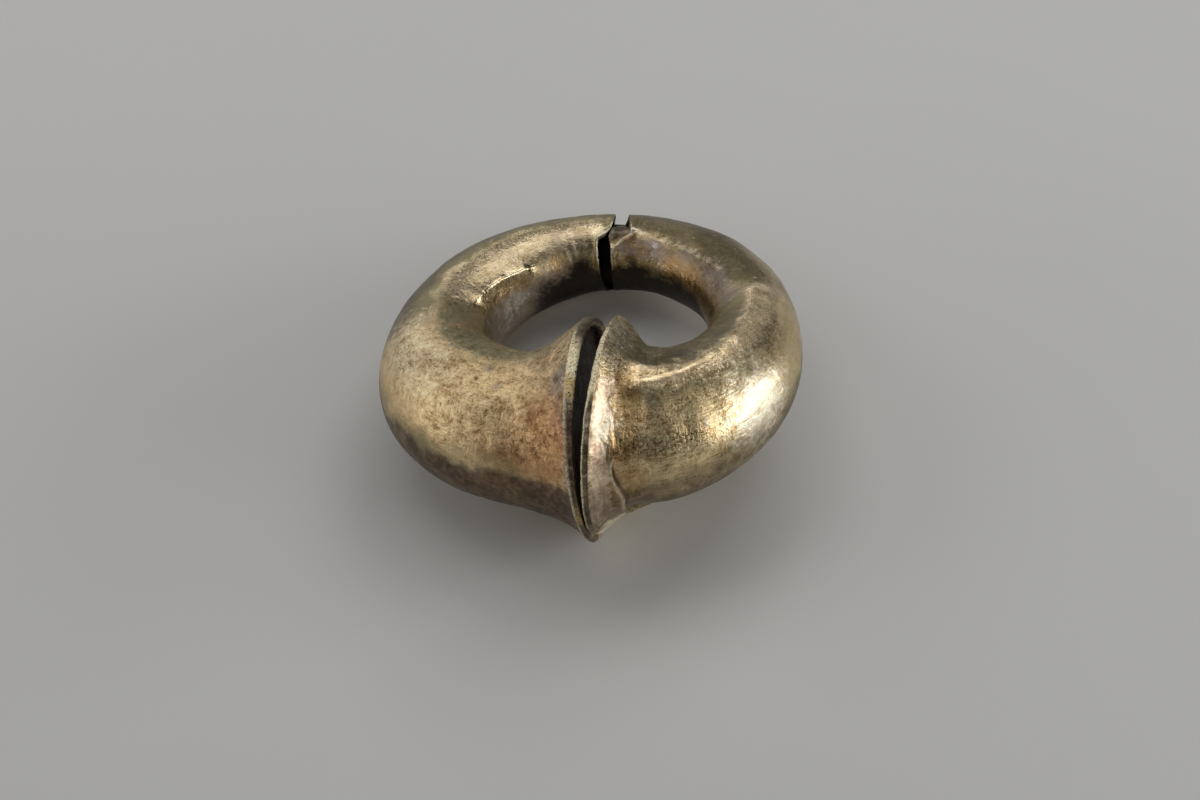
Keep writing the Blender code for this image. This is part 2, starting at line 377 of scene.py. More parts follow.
def from_lip(at, angle, side):
    """Distance from the lip of the crack's left or right side, over the surface of the tube."""
    degrees = degrees_round(angle)
    across, around = across_crack(at, angle), BACK_TUBE * np.radians(degrees)
    line_across = np.array((CRACK_LEFT, LIP_RIGHT)[side]) * MM
    line_around = BACK_TUBE * np.radians(CRACK_ANGLES)
    nearest = np.full(np.broadcast(across, around).shape, 1.0)
    for i in range(len(CRACK_ANGLES) - 1):
        step = (line_across[i + 1] - line_across[i], line_around[i + 1] - line_around[i])
        off = (across - line_across[i], around - line_around[i])
        t = np.clip((off[0] * step[0] + off[1] * step[1]) / (step[0] ** 2 + step[1] ** 2), 0, 1)
        nearest = np.minimum(nearest, np.hypot(off[0] - t * step[0], off[1] - t * step[1]))
    return np.where(np.abs(at) < CRACK_END, nearest, 1.0)


# The mesh

def crack_edges(angle):
    """Left and right edges of the crack at each angle, as shares of the half turn, and where it is open."""
    degrees = (np.degrees(angle) - CRACK_ANGLES[0]) % 360 + CRACK_ANGLES[0]
    is_open = degrees <= CRACK_ANGLES[-1]
    closed_from = (CRACK_LEFT[-1] + CRACK_RIGHT[-1]) / 2 * MM
    closed_to = (CRACK_LEFT[0] + CRACK_RIGHT[0]) / 2 * MM
    seam = np.interp(degrees, (CRACK_ANGLES[-1], CRACK_ANGLES[0] + 360), (closed_from, closed_to))
    edges = []
    for side, values in ((LEFT, CRACK_LEFT), (RIGHT, CRACK_RIGHT)):
        ragged = [noise.fractal(Vector((d / 5, side * 9.0, 0.5)), 0.8, 2.0, 4) for d in degrees.tolist()]
        edge = (np.interp(degrees, CRACK_ANGLES, values) + CRACK_RAGGED * np.array(ragged)) * MM
        edges.append(np.where(is_open, edge, seam))
    reach = BACK_REACH + BACK_TUBE * np.cos(angle)
    return [np.arcsin(edge / reach) / math.pi for edge in edges], is_open


def by_density(fine, density, shares):
    """Places along a fine scale, closer together where the density is higher."""
    total = np.concatenate([[0], np.cumsum(density[1:] + density[:-1])])
    return np.interp(shares * total[-1], total, fine)


def half_shares(side):
    """Shares of one half of the ring, from the crack to the disc, closer where the form is finer."""
    fine = np.linspace(0, 1, FINE_SHARES)
    density = 1 + 2.2 * np.exp(-fine / 0.07) + 0.5 * smooth_step(0.84, 0.9, fine)
    if side == RIGHT:
        density += 1.5 * bump(fine - LAP_MIDDLE, 0.012)
    shares = by_density(fine, density, np.linspace(0, 1, STATIONS))
    if side == RIGHT:
        nearest = int(np.argmin(np.abs(shares - LAP_MIDDLE)))
        shares[nearest] = LAP_MIDDLE
        shares = np.insert(shares, nearest + 1, LAP_MIDDLE + LAP_STEP)
    return shares


def skin_half(side, angle, edge):
    """Shares round the ring for the grid of one half, whose lines follow the crack and the collar's edge."""
    sign = SIDES[side][1]
    share = half_shares(side)[:, None]
    at = sign * share + edge * np.clip(1 - share / CRACK_PULL, 0, None) ** 2
    lap = None
    if side == RIGHT:
        lap = lap_share(angle)
        pull = np.clip(1 - ((share - LAP_MIDDLE) / 0.07) ** 2, 0, None) ** 2
        at = at + pull * (lap - LAP_MIDDLE)
    return at, lap


def lips(at, angle, side):
    """The rolled and bruised lips along the crack."""
    away = from_lip(at, angle, side)
    degrees = degrees_round(angle)
    if side == RIGHT:
        roll = 0.00008 * bump(away - 0.28 * MM, 0.24 * MM) * window(106, 225, 12, degrees)
        curl = 0.00016 * bump(away, 0.35 * MM) * bump(degrees - 106, 9)
        return roll + curl
    roll = 0.0001 * bump(away - 0.14 * MM, 0.13 * MM) * window(126, 225, 10, degrees)
    return roll + 0.00008 * bump(away, 0.3 * MM) * bump(degrees - 115, 9)


class Builder:
    """Gathers grids of points and the faces between them for one mesh."""

    def __init__(self):
        self.points, self.faces, self.places, self.parts = [], [], [], []
        self.count = 0

    def add(self, points, at, angle, part=SKIN):
        """Adds points and returns their numbers in the same layout."""
        layout = points.shape[:-1]
        numbers = np.arange(self.count, self.count + points[..., 0].size).reshape(layout)
        self.points.append(points.reshape(-1, 3))
        place = np.stack([np.broadcast_to(at, layout), np.broadcast_to(angle, layout)], -1)
        self.places.append(place.reshape(-1, 2))
        self.parts.append(np.full(numbers.size, part))
        self.count += numbers.size
        return numbers

    def grid(self, numbers, flip=False, closed=True):
        """Quads between neighbouring rows and columns; the columns run round the tube."""
        after = np.roll(numbers, -1, axis=1) if closed else numbers[:, 1:]
        before = numbers if closed else numbers[:, :-1]
        quads = np.stack([before[:-1], after[:-1], after[1:], before[1:]], -1).reshape(-1, 4)
        self.faces.extend((quads if flip else quads[:, ::-1]).tolist())

    def fan(self, ring, middle, flip=False):
        for a, b in zip(ring.tolist(), np.roll(ring, -1).tolist()):
            self.faces.append((a, b, middle) if flip else (b, a, middle))


def rim_rows(side, last, angle):
    """The disc's edge, from the flare over the rough rim and down to the sunken plate, as rows of points."""
    # The way that the disc's face looks along X, towards the slit.
    facing = -SIDES[side][1]
    middle = last.mean(axis=0)
    off = last - middle
    radius = np.linalg.norm(off[:, 1:], axis=-1)
    thick = edge_thickness(side, off[:, 2])
    worn_round = window(58, 122, 18, degrees_round(angle))
    corner = CORNER[0] + CORNER[1] * worn_round
    lip = LIP_ROUND[0] + LIP_ROUND[1] * worn_round
    width = EDGE_WIDTH - (side == RIGHT) * RIGHT_EDGE_THINNER * (1 - worn_round)
    rows = []

    def row(inset, depth):
        share = 1 - inset / radius
        y = middle[1] + off[:, 1] * share
        z = middle[2] + off[:, 2] * share
        x = face_x(side, off[:, 1] * share, off[:, 2] * share) - facing * depth
        return np.stack([x, y, z], -1)

    for part in (0.35, 0.7):
        rows.append(row(0, corner + (thick - corner) * (1 - part)))
    for turn in (0, 30, 60, 90):
        bend = math.radians(turn)
        rows.append(row(corner * (1 - math.cos(bend)), corner * (1 - math.sin(bend))))
    flat = width - corner - lip
    for share in (0.35, 0.7):
        rows.append(row(corner + flat * share, 0))
    for turn in (0, 45, 90):
        bend = math.radians(turn)
        rows.append(row(width - lip * (1 - math.sin(bend)), lip * (1 - math.cos(bend))))
    rows.append(row(width, 0.6 * PLATE_DEPTH))
    rows.append(row(width + 0.00005, PLATE_DEPTH))
    rim_count = len(rows)
    for k in range(1, PLATE_RINGS):
        rows.append(row(width + (radius - width) * k / PLATE_RINGS, PLATE_DEPTH))
    rows = np.array(rows)
    out = off / radius[:, None]
    worn = EDGE_ROUGH[0] * rough(rows, 0.9 * MM, 3, 11.0 + side)
    rows[:rim_count] += worn[:rim_count, :, None] * out
    rows[:, :, 0] += facing * EDGE_ROUGH[1] * rough(rows, 0.7 * MM, 3, 21.0 + side)
    return rows


def top_wear(at, angle):
    """How far the top of the right disc is worn down."""
    return TOP_WEAR * smooth_step(0.93, 1.0, at) * bump(degrees_round(angle) - 98, 30)


def column_angles():
    """Angles of the skin's columns, closer together on the upper side, where the relief is finer."""
    fine = np.linspace(0, 2 * math.pi, FINE_ANGLES)
    return by_density(fine, 1 + UPPER_CLOSENESS * np.sin(fine), np.arange(AROUND) / AROUND)


def outer_skin(side, angle, edge):
    """Shares and points of one half's outer surface, with all its relief."""
    at, lap = skin_half(side, angle, edge)
    flat = surface(at, angle)
    height = relief(at, angle, flat) + lips(at, angle, side)
    if side == RIGHT:
        height += collar(at, lap, angle) - neck_drop(at, angle) - tongue_drop(at, angle)
    fade = 1 - 0.75 * smooth_step(0.965, 1.0, np.abs(at))
    height = height * fade - top_wear(at, angle)
    return at, flat + height[..., None] * surface_normal(at, angle)


def inner_wall(side, angle, edge):
    """Shares and points of one half's inner surface, from the crack to behind the end plate."""
    share = np.linspace(0, 1, STATIONS_INSIDE)[:, None] ** 1.6
    stop = 1 - (PLATE_DEPTH + 2 * WALL) / (BACK_REACH * math.pi)
    first, last, fade = UNDERCUT_ANGLES
    under_edge = edge - (side == LEFT) * UNDERCUT * window(first, last, fade, degrees_round(angle))
    at = SIDES[side][1] * share * stop + under_edge * np.clip(1 - share / CRACK_PULL, 0, None) ** 2
    points = surface(at, angle, WALL)
    if side == RIGHT:
        drop = neck_drop(at, angle) + tongue_drop(at - 0.006, angle)
        points -= drop[..., None] * surface_normal(at, angle)
    return at, points


def crack_wall(side, outer, inner, shown):
    """Rows of points down the torn edge of the sheet, which bulges a little into the crack."""
    rows = []
    for depth in (0.2, 0.5, 0.8):
        bulge = -SIDES[side][1] * 0.00006 * math.sin(math.pi * depth)
        rows.append(outer + (inner - outer) * depth + np.array((bulge, 0.0, 0.0)) * shown[:, None])
    return np.array(rows)


def disc_rows(side, angle):
    sign = float(SIDES[side][1])
    last = surface(sign, angle)
    out = unit(last - last.mean(axis=0))
    return rim_rows(side, last - top_wear(sign, angle)[:, None] * out, angle)


def add_half(builder, side, angle, edge, shown):
    """Adds one half, and returns the rows of its outer and inner surface and of the crack's wall."""
    sign = float(SIDES[side][1])
    flip = side == RIGHT
    at, points = outer_skin(side, angle, edge)
    outer = builder.add(points[:-1], at[:-1], angle)
    outer = np.concatenate([outer, builder.add(points[-1:], at[-1:], angle, ARRIS)])
    at_inside, inside_points = inner_wall(side, angle, edge)
    inside = builder.add(inside_points, at_inside, angle, INSIDE)
    wall_points = crack_wall(side, points[0], inside_points[0], shown)
    wall = builder.add(wall_points, np.tile(at[0], (len(wall_points), 1)), angle, WALL_STRIP)
    rows = disc_rows(side, angle)
    lip_start = -PLATE_ROWS - LIP_ROWS[side]
    rim = [
        builder.add(rows[:lip_start], sign, angle, RIM),
        builder.add(rows[lip_start:-PLATE_ROWS], sign, angle, LIP),
        builder.add(rows[-PLATE_ROWS:], sign, angle, PLATE),
    ]
    rim = np.concatenate(rim)
    centre = builder.add(rows[-1].mean(axis=0)[None], sign, 0.0, PLATE)[0]
    builder.grid(np.concatenate([outer[1:], rim]), flip)
    builder.fan(rim[-1], centre, flip)
    builder.grid(inside[1:], not flip)
    cap = builder.add(inside_points[-1].mean(axis=0)[None], sign, 0.0, INSIDE)[0]
    builder.fan(inside[-1], cap, not flip)
    return outer, inside, wall


def build_skin():
    angle = column_angles()
    edges, is_open = crack_edges(angle)
    shown = is_open & np.roll(is_open, 1) & np.roll(is_open, -1)
    tips = is_open & ~shown
    middle_edge = (edges[LEFT] + edges[RIGHT]) / 2
    edges = [np.where(tips, middle_edge, edge) for edge in edges]
    builder = Builder()
    seam = [add_half(builder, side, angle, edges[side], shown) for side in (LEFT, RIGHT)]

    # The two halves share their points where the sheet is whole, and at the crack's tips.
    (outer_l, inside_l, wall_l), (outer_r, inside_r, wall_r) = seam
    outer_r[0] = np.where(shown, outer_r[0], outer_l[0])
    inside_r[0] = np.where(shown, inside_r[0], inside_l[0])
    wall_r[:] = np.where(shown, wall_r, wall_l)
    for side in (LEFT, RIGHT):
        outer, inside, wall = seam[side]
        flip = side == RIGHT
        builder.grid(outer[:2], flip)
        builder.grid(inside[:2], not flip)
        strip = np.concatenate([outer[:1], wall, inside[:1]])
        ends = np.flatnonzero(tips)
        first = next(i for i in ends if shown[(i + 1) % AROUND])
        last = next(i for i in ends if shown[(i - 1) % AROUND])
        columns = np.arange(first, last + (AROUND if last < first else 0) + 1) % AROUND
        builder.grid(strip[:, columns], not flip, closed=False)
    return builder


def resting_turn(points):
    """The turn that lays the ring on its discs and its back together, leaning to its left."""
    steepest = STEEPEST_PITCH
    flattest = 0.0
    for _ in range(PITCH_HALVINGS):
        pitch = (steepest + flattest) / 2
        turn = Euler((0, -LEAN, 0)).to_matrix()
        turn.rotate(Euler((pitch, 0, 0)))
        turned = points @ np.array(turn).T
        front = turned[turned[:, 1] < 0, 2].min()
        back = turned[turned[:, 1] > 0, 2].min()
        if front < back:
            flattest = pitch
        else:
            steepest = pitch
    return np.array(turn)


def lay_down(points, outline):
    """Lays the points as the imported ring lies, by the smooth outline's box, with its flats on the floor."""
    turn = resting_turn(outline)
    turned = outline @ turn.T
    low, high = turned.min(axis=0), turned.max(axis=0)
    shift = np.array((-(low[0] + high[0]) / 2, -(low[1] + high[1]) / 2, -low[2] - FLAT_DEPTH))
    laid = points @ turn.T + shift
    laid[:, 2] = np.maximum(laid[:, 2], 0)
    return laid, turn, shift


def smooth_outline():
    shares = np.linspace(-1, 1, 161)[:, None]
    angle = np.radians(np.arange(80) * 360 / 80)
    points = [surface(shares, angle).reshape(-1, 3)]
    for side, sign in SIDES:
        last = surface(float(sign), angle)
        off = last - last.mean(axis=0)
        last[:, 0] = face_x(side, off[:, 1], off[:, 2])
        points.append(last)
    return np.concatenate(points)


def add_object(name, data):
    obj = bpy.data.objects.new(name, data)
    bpy.context.scene.collection.objects.link(obj)
    return obj


def make_mesh(name, points, faces):
    mesh = bpy.data.meshes.new(name)
    mesh.from_pydata(points.tolist(), [], faces)
    mesh.validate()
    return add_object(name, mesh)


def drop_loose(builder):
    """The skin's points, faces, places and parts, without the points that no face uses."""
    used = np.unique(np.concatenate([np.array(face) for face in builder.faces]))
    number = np.full(builder.count, -1)
    number[used] = np.arange(len(used))
    faces = [tuple(number[list(face)].tolist()) for face in builder.faces]
    kept = [np.concatenate(values)[used] for values in (builder.points, builder.places, builder.parts)]
    return faces, *kept


def shade(obj, arris):
    """Smooth shading, but for true edges and the arris round each disc."""
    mesh = obj.data
    mesh.shade_smooth()
    mesh.set_sharp_from_angle(angle=SHARP_ANGLE)
    ends = np.zeros(len(mesh.edges) * 2, int)
    mesh.edges.foreach_get("vertices", ends)
    sharp = np.zeros(len(mesh.edges), bool)
    layer = mesh.attributes["sharp_edge"]
    layer.data.foreach_get("value", sharp)
    layer.data.foreach_set("value", sharp | arris[ends].reshape(-1, 2).all(axis=1))


# Colour zones, as values from 0 to 1 on the skin's points. The shade zone and the near-black zone of the
# hollows are painted shade, the gold, cream and whitened zones painted highlights, and the grey-white zone
# painted glints.

# Broad zones: strength, first and last share with their fade, first and last degree with their fade.
BANDS = {
    "tan": ((1.15, -0.93, -0.58, 0.1, 18, 84, 18),),
    # Painted highlights: bright gold bands at the back-left and along the right arm's crest.
    "gold": ((0.35, -0.36, 0.01, 0.05, 86, 98, 14), (0.35, 0.42, 0.9, 0.04, 66, 82, 8)),
    "rose": ((0.45, -0.42, -0.05, 0.05, 98, 130, 12),),
    "olive": (
        (0.4, -0.9, -0.55, 0.05, 88, 106, 9), (0.5, 0.1, 0.62, 0.08, -30, 42, 20),
        (0.6, 0.68, 0.93, 0.06, 54, 62, 7), (0.35, -0.72, -0.4, 0.08, -40, 20, 12),
        (0.3, -0.88, -0.6, 0.06, 0, 14, 7), (0.5, 0.955, 1.0, 0.012, 84, 140, 10),
        (0.9, -0.5, -0.02, 0.1, 40, 78, 14), (0.8, 0.03, 0.36, 0.06, 70, 98, 14),
        (0.65, 0.3, 0.42, 0.08, 86, 122, 14), (0.7, -0.93, -0.5, 0.08, 110, 140, 10),
        (1.0, 0.5, 0.93, 0.06, 90, 150, 10), (0.9, 0.76, 0.9, 0.03, 80, 100, 5),
        (0.5, 0.4, 0.9, 0.1, -40, -4, 14),
    ),
    "mauve": (
        (0.5, 0.93, 1.0, 0.02, 82, 130, 12), (0.4, 0.955, 0.985, 0.01, -5, 22, 12),
        (0.9, 0.07, 0.34, 0.05, 124, 148, 10), (0.8, 0.32, 0.46, 0.05, 112, 140, 14),
        (0.9, -0.44, -0.1, 0.08, 158, 230, 18), (0.15, 0.955, 0.985, 0.01, 55, 80, 10),
        (0.6, -0.995, -0.96, 0.01, 20, 75, 14),
    ),
    # Painted highlight: a light band on the left lobe.
    "painted_cream_highlight": ((0.5, -0.70, -0.53, 0.07, 44, 76, 18),),
    "even": (
        (1.0, -0.5, 0.58, 0.1, -60, 300, 1), (0.9, -0.69, -0.45, 0.06, -60, 42, 10),
        (0.5, 0.6, 0.92, 0.05, -60, 62, 10), (0.7, 0.4, 0.68, 0.05, 24, 74, 8),
        (0.65, 0.42, 0.93, 0.05, 74, 94, 8), (0.9, -0.93, -0.6, 0.06, -60, 14, 8),
    ),
    "rust": (
        (0.7, 0.9, 0.93, 0.035, -30, 64, 10), (0.5, 0.85, 0.93, 0.02, 66, 78, 6),
        (0.8, -0.95, -0.6, 0.06, -50, -4, 8),
    ),
    # Painted shade: on the low sides, on the right arm's inner shoulder, round the back and beside the left
    # disc.
    "shade": (
        (0.35, 0.76, 0.9, 0.03, 80, 100, 5), (0.5, 0.55, 0.93, 0.06, 90, 116, 10),
        (1.2, -1.0, -0.5, 0.12, -120, -2, 13), (0.8, 0.4, 1.0, 0.2, -120, -14, 20),
        (0.8, -0.45, 0.2, 0.15, -60, 56, 20), (0.4, 0.08, 0.36, 0.06, 60, 124, 14),
        (0.35, -0.97, -0.9, 0.02, 50, 100, 15),
    ),
    "amber": ((0.9, 0.5, 0.92, 0.1, -25, 50, 16), (0.25, -0.93, -0.62, 0.08, 6, 50, 16)),
    # Painted reflection: a light crescent along the lower rim of the right flange's foot.
    "edge": ((1.0, 0.93, 1.0, 0.01, -74, -46, 6),),
    "pitted": (
        (1.0, -0.93, -0.62, 0.08, 8, 72, 16), (0.45, -0.42, -0.02, 0.06, 84, 134, 12),
        (0.4, 0.6, 0.93, 0.06, 66, 84, 8),
    ),
    "blush": ((1.0, 0.945, 0.985, 0.015, -30, 62, 12),),
}

# Round stains and painted marks: strength, share, degrees and radius in millimetres. The cream, whitened and
# grey-white spots are painted highlights and glints, the near-black ones painted shade.
STAINS = {
    "copper": ((1.0, -0.945, 40, 2.2), (0.9, -0.93, 14, 2.2), (0.4, -0.84, 28, 2.8)),
    "olive": (
        (0.7, -0.868, 22, 1.4), (0.7, -0.637, 110, 0.9), (0.6, -0.8, 103, 0.9), (0.8, 0.05, 122, 0.6),
        (0.55, -0.11, 118, 1.0), (0.4, -0.045, 122, 0.6),
    ),
    "rust": (
        (0.5, -0.85, 12, 1.2), (0.9, 0.0642, 125, 0.7), (1.1, 0.2, 152, 1.1), (1.1, 0.273, 152, 1.1),
        (1.1, 0.337, 160, 1.2), (0.9, 0.42, 160, 1.2), (0.9, 0.48, 150, 1.2), (0.7, -0.12, 148, 0.9),
        (0.5, -0.3, 140, 0.8), (0.5, -0.41, 138, 1.2), (0.7, -0.567, 115, 0.8), (0.8, -0.25, 146, 0.8),
        (0.7, 0.1, 140, 0.6),
    ),
    "mauve": (
        (0.8, -0.975, 40, 1.0), (0.8, -0.975, 66, 1.0), (0.9, -0.797, 85, 0.5), (0.9, -0.828, 70, 0.35),
        (0.45, 0.86, 56, 0.8), (0.6, 0.79, 30, 0.9),
    ),
    "rose": ((0.6, -0.08, 124, 1.2),),
    "painted_cream_highlight": ((1.0, -0.012, 104, 0.7), (1.6, -0.212, 140, 0.42), (0.5, 0.772, 24, 0.9)),
    # Painted glints: grey-white spots on the inner wall and beside the crack.
    "pale": (
        (0.5, -0.27, 168, 1.0), (0.4, -0.33, 185, 1.0), (1.0, 0.13, 128, 0.3), (0.9, 0.0642, 109, 0.35),
    ),
    # Painted highlights: whitened spots on the right arm, on the flange and on the crack's left lip.
    "painted_white_highlight": ((1.0, 0.70, 22, 3.2), (0.8, 0.965, 40, 1.4), (1.2, 0.004, 116, 0.3)),
    # Painted shade: near-black in a pit and in the hollows beside the crack.
    "painted_deep_shade": ((0.35, 0.0758, 158, 0.4), (0.7, -0.06, 160, 0.8), (0.5, 0.035, 86, 0.5)),
}

# Lines that run along the ring: name, strength, width in millimetres, and shares and angles of their points.
LINES = (
    # Painted highlights along the right arm's crests.
    ("gold", 1.0, 0.82, (0.45, 0.483, 0.544, 0.609, 0.647, 0.7, 0.745), (84, 84, 83, 80, 78, 77, 76)),
    ("gold", 1.0, 0.38, (0.7, 0.758, 0.805, 0.845, 0.885), (80, 77, 72, 69, 66)),
    ("gold", 0.9, 0.24, (0.82, 0.86, 0.885), (80, 80, 81)),
    # Painted highlight along the crease at the back-left.
    ("painted_cream_highlight", 2.0, 0.18, CRESTS[-1][0][1:4], CRESTS[-1][1][1:4]),
    ("rust", 0.6, 0.4, (-0.36, -0.296, -0.215), (150, 153, 158)),
    # Painted highlight along the right lip of the crack.
    ("painted_cream_highlight", 0.9, 0.22, (0.03, 0.064, 0.135, 0.25, 0.32), (105, 107, 118, 118, 114)),
    # Painted shade in the hollow under the right arm's crest.
    ("shade", 0.3, 0.5, (0.7, 0.76, 0.85, 0.93), (68, 64, 57, 54)),
    ("olive", 0.9, 0.5, (-0.78, -0.7, -0.6, -0.5, -0.44), (105, 104, 103, 100, 97)),
)

# Marks on the discs' edges: name, strength, side, first and last degree and their fade.
# The shade marks are painted shade on the discs' edges.
RIM_MARKS = (
    ("crust", 1.0, LEFT, 66, 78, 20), ("grains", 1.0, LEFT, 57, 64, 3), ("grains", 0.8, LEFT, -18, -8, 5),
    ("shade", 1.2, LEFT, -6, 50, 8), ("shade", 0.9, LEFT, 94, 140, 10), ("olive", 0.8, LEFT, 92, 140, 10),
    ("crust", 0.9, RIGHT, 57, 96, 7), ("shade", 0.3, RIGHT, -25, 52, 8), ("olive", 0.7, RIGHT, -25, 52, 8),
)
ZONES = (
    "tan", "amber", "rose", "gold", "painted_cream_highlight", "olive", "mauve", "copper", "rust", "pale", "blush", "painted_white_highlight",
    "shade", "painted_deep_shade", "crust", "grains", "edge", "plate", "pitted", "even",
)


def zones(places, points, parts):
    at, angle = places[:, 0], places[:, 1]
    degrees = degrees_round(angle)
    ragged = rough(points, 1.5 * MM, 5, 31.0)
    blotch = 0.5 + 0.5 * rough(points, 3.5 * MM, 3, 41.0)
    layers = {name: np.zeros(len(at)) for name in ZONES}
    for name, bands in BANDS.items():
        for strength, first, last, share_fade, low, high, fade in bands:
            along = window(first, last, share_fade, at + 0.02 * ragged)
            layers[name] += strength * along * window(low, high, fade, degrees + 9 * ragged)
    for name, stains in STAINS.items():
        for strength, share, degree, radius in stains:
            middle = surface(share, math.radians(degree))
            away = np.linalg.norm(points - middle, axis=-1) / (radius * MM)
            layers[name] += strength * np.exp(-(np.clip(away + 0.35 * ragged, 0, None) ** 2))
    # Painted shade: the inner wall darkens to near black down into the hole.
    deep = smooth_step(150, 190, degrees + 10 * ragged) * (1 - smooth_step(215, 250, degrees))
    layers["painted_deep_shade"] += deep * window(-0.1, 0.26, 0.2, at)
    for name in ("olive", "mauve", "shade"):
        layers[name] *= 0.65 + 0.35 * blotch
    for name, strength, side, low, high, fade in RIM_MARKS:
        on_rim = ((parts == RIM) | (name != "shade") & (parts == ARRIS)) & ((at > 0) == (side == RIGHT))
        layers[name] += strength * on_rim * window(low, high, fade, degrees + 5 * ragged)
    # Painted shade on the pressed-in tongue of sheet beside the crack.
    crack_middle = np.interp(degrees, CRACK_ANGLES, np.add(CRACK_LEFT, CRACK_RIGHT) / 2) * MM
    on_tongue = across_crack(at, angle) > crack_middle
    layers["shade"] += 0.8 * on_tongue * smooth_step(0.08 * MM, 0.3 * MM, tongue_drop(at, angle))
    # A dark line just outside the collar's lapped edge, partly dirt in the joint and partly painted shadow of
    # its step, and a painted highlight on the collar's lip.
    past_lap = (at - lap_share(angle)) * math.pi * BACK_REACH
    low_down = window(-34, 46, 10, degrees)
    layers["shade"] += (0.25 + window(-34, 8, 8, degrees)) * low_down * bump(past_lap + 0.1 * MM, 0.13 * MM)
    layers["edge"] += 0.6 * window(-34, 12, 10, degrees) * bump(past_lap - 0.17 * MM, 0.13 * MM)
    for name, strength, width, shares, angles in LINES:
        line = bump(away_from_line(at, angle, shares, angles) + 0.1 * MM * ragged, width * MM)
        layers[name] += strength * (0.8 + 0.6 * ragged) * window(shares[0], shares[-1], 0.03, at) * line
    # The discs' arris and lip are light, partly worn bare and partly painted highlight; the right disc's
    # arris gets painted shade.
    on_edge = (parts == ARRIS) & (at < 0) | (parts == LIP)
    layers["edge"] += on_edge * window(-40, 92, 14, degrees) * (1.0 + 0.6 * ragged)
    layers["shade"] += 0.8 * ((parts == ARRIS) & (at > 0)) * window(-20, 52, 8, degrees)
    # Painted shade: the crack's torn walls are near black, but for a painted glint high on its left wall.
    in_crack = parts == WALL_STRIP
    glint = window(109, 122, 5, degrees) * (at < 0.006)
    layers["shade"] += in_crack * (1 - glint)
    layers["painted_deep_shade"] += in_crack * (1 - glint)
    layers["pale"] += 1.5 * in_crack * glint
    # Light metal along the crack's lips, partly worn bare and partly painted highlight, with a painted
    # highlight on the left lip.
    for side, strength in ((LEFT, 1.1), (RIGHT, 0.75)):
        beside = bump(from_lip(at, angle, side), 0.12 * MM) * window(96, 160, 12, degrees)
        layers["edge"] += beside * (parts == SKIN) * (strength + 0.6 * ragged)
    layers["edge"] += 0.9 * bump(from_lip(at, angle, LEFT), 0.25 * MM) * bump(degrees - 117, 6)
    # Painted shade over the inside of the tube.
    layers["painted_deep_shade"] += 0.8 * (parts == INSIDE)
    layers["plate"] += parts == PLATE
    return layers


def straightened(places):
    """Where each point would be on a straight, even tube, so that strokes can run along or round the ring."""
    at, angle = places[:, 0], places[:, 1]
    return np.stack([math.pi * BACK_REACH * at, EVEN_TUBE * np.cos(angle), EVEN_TUBE * np.sin(angle)], -1)


def store(obj, name, values):
    is_vector = values.ndim == 2
    layer = obj.data.attributes.new(name, "FLOAT_VECTOR" if is_vector else "FLOAT", "POINT")
    layer.data.foreach_set("vector" if is_vector else "value", values.astype(np.float32).ravel())


# The material

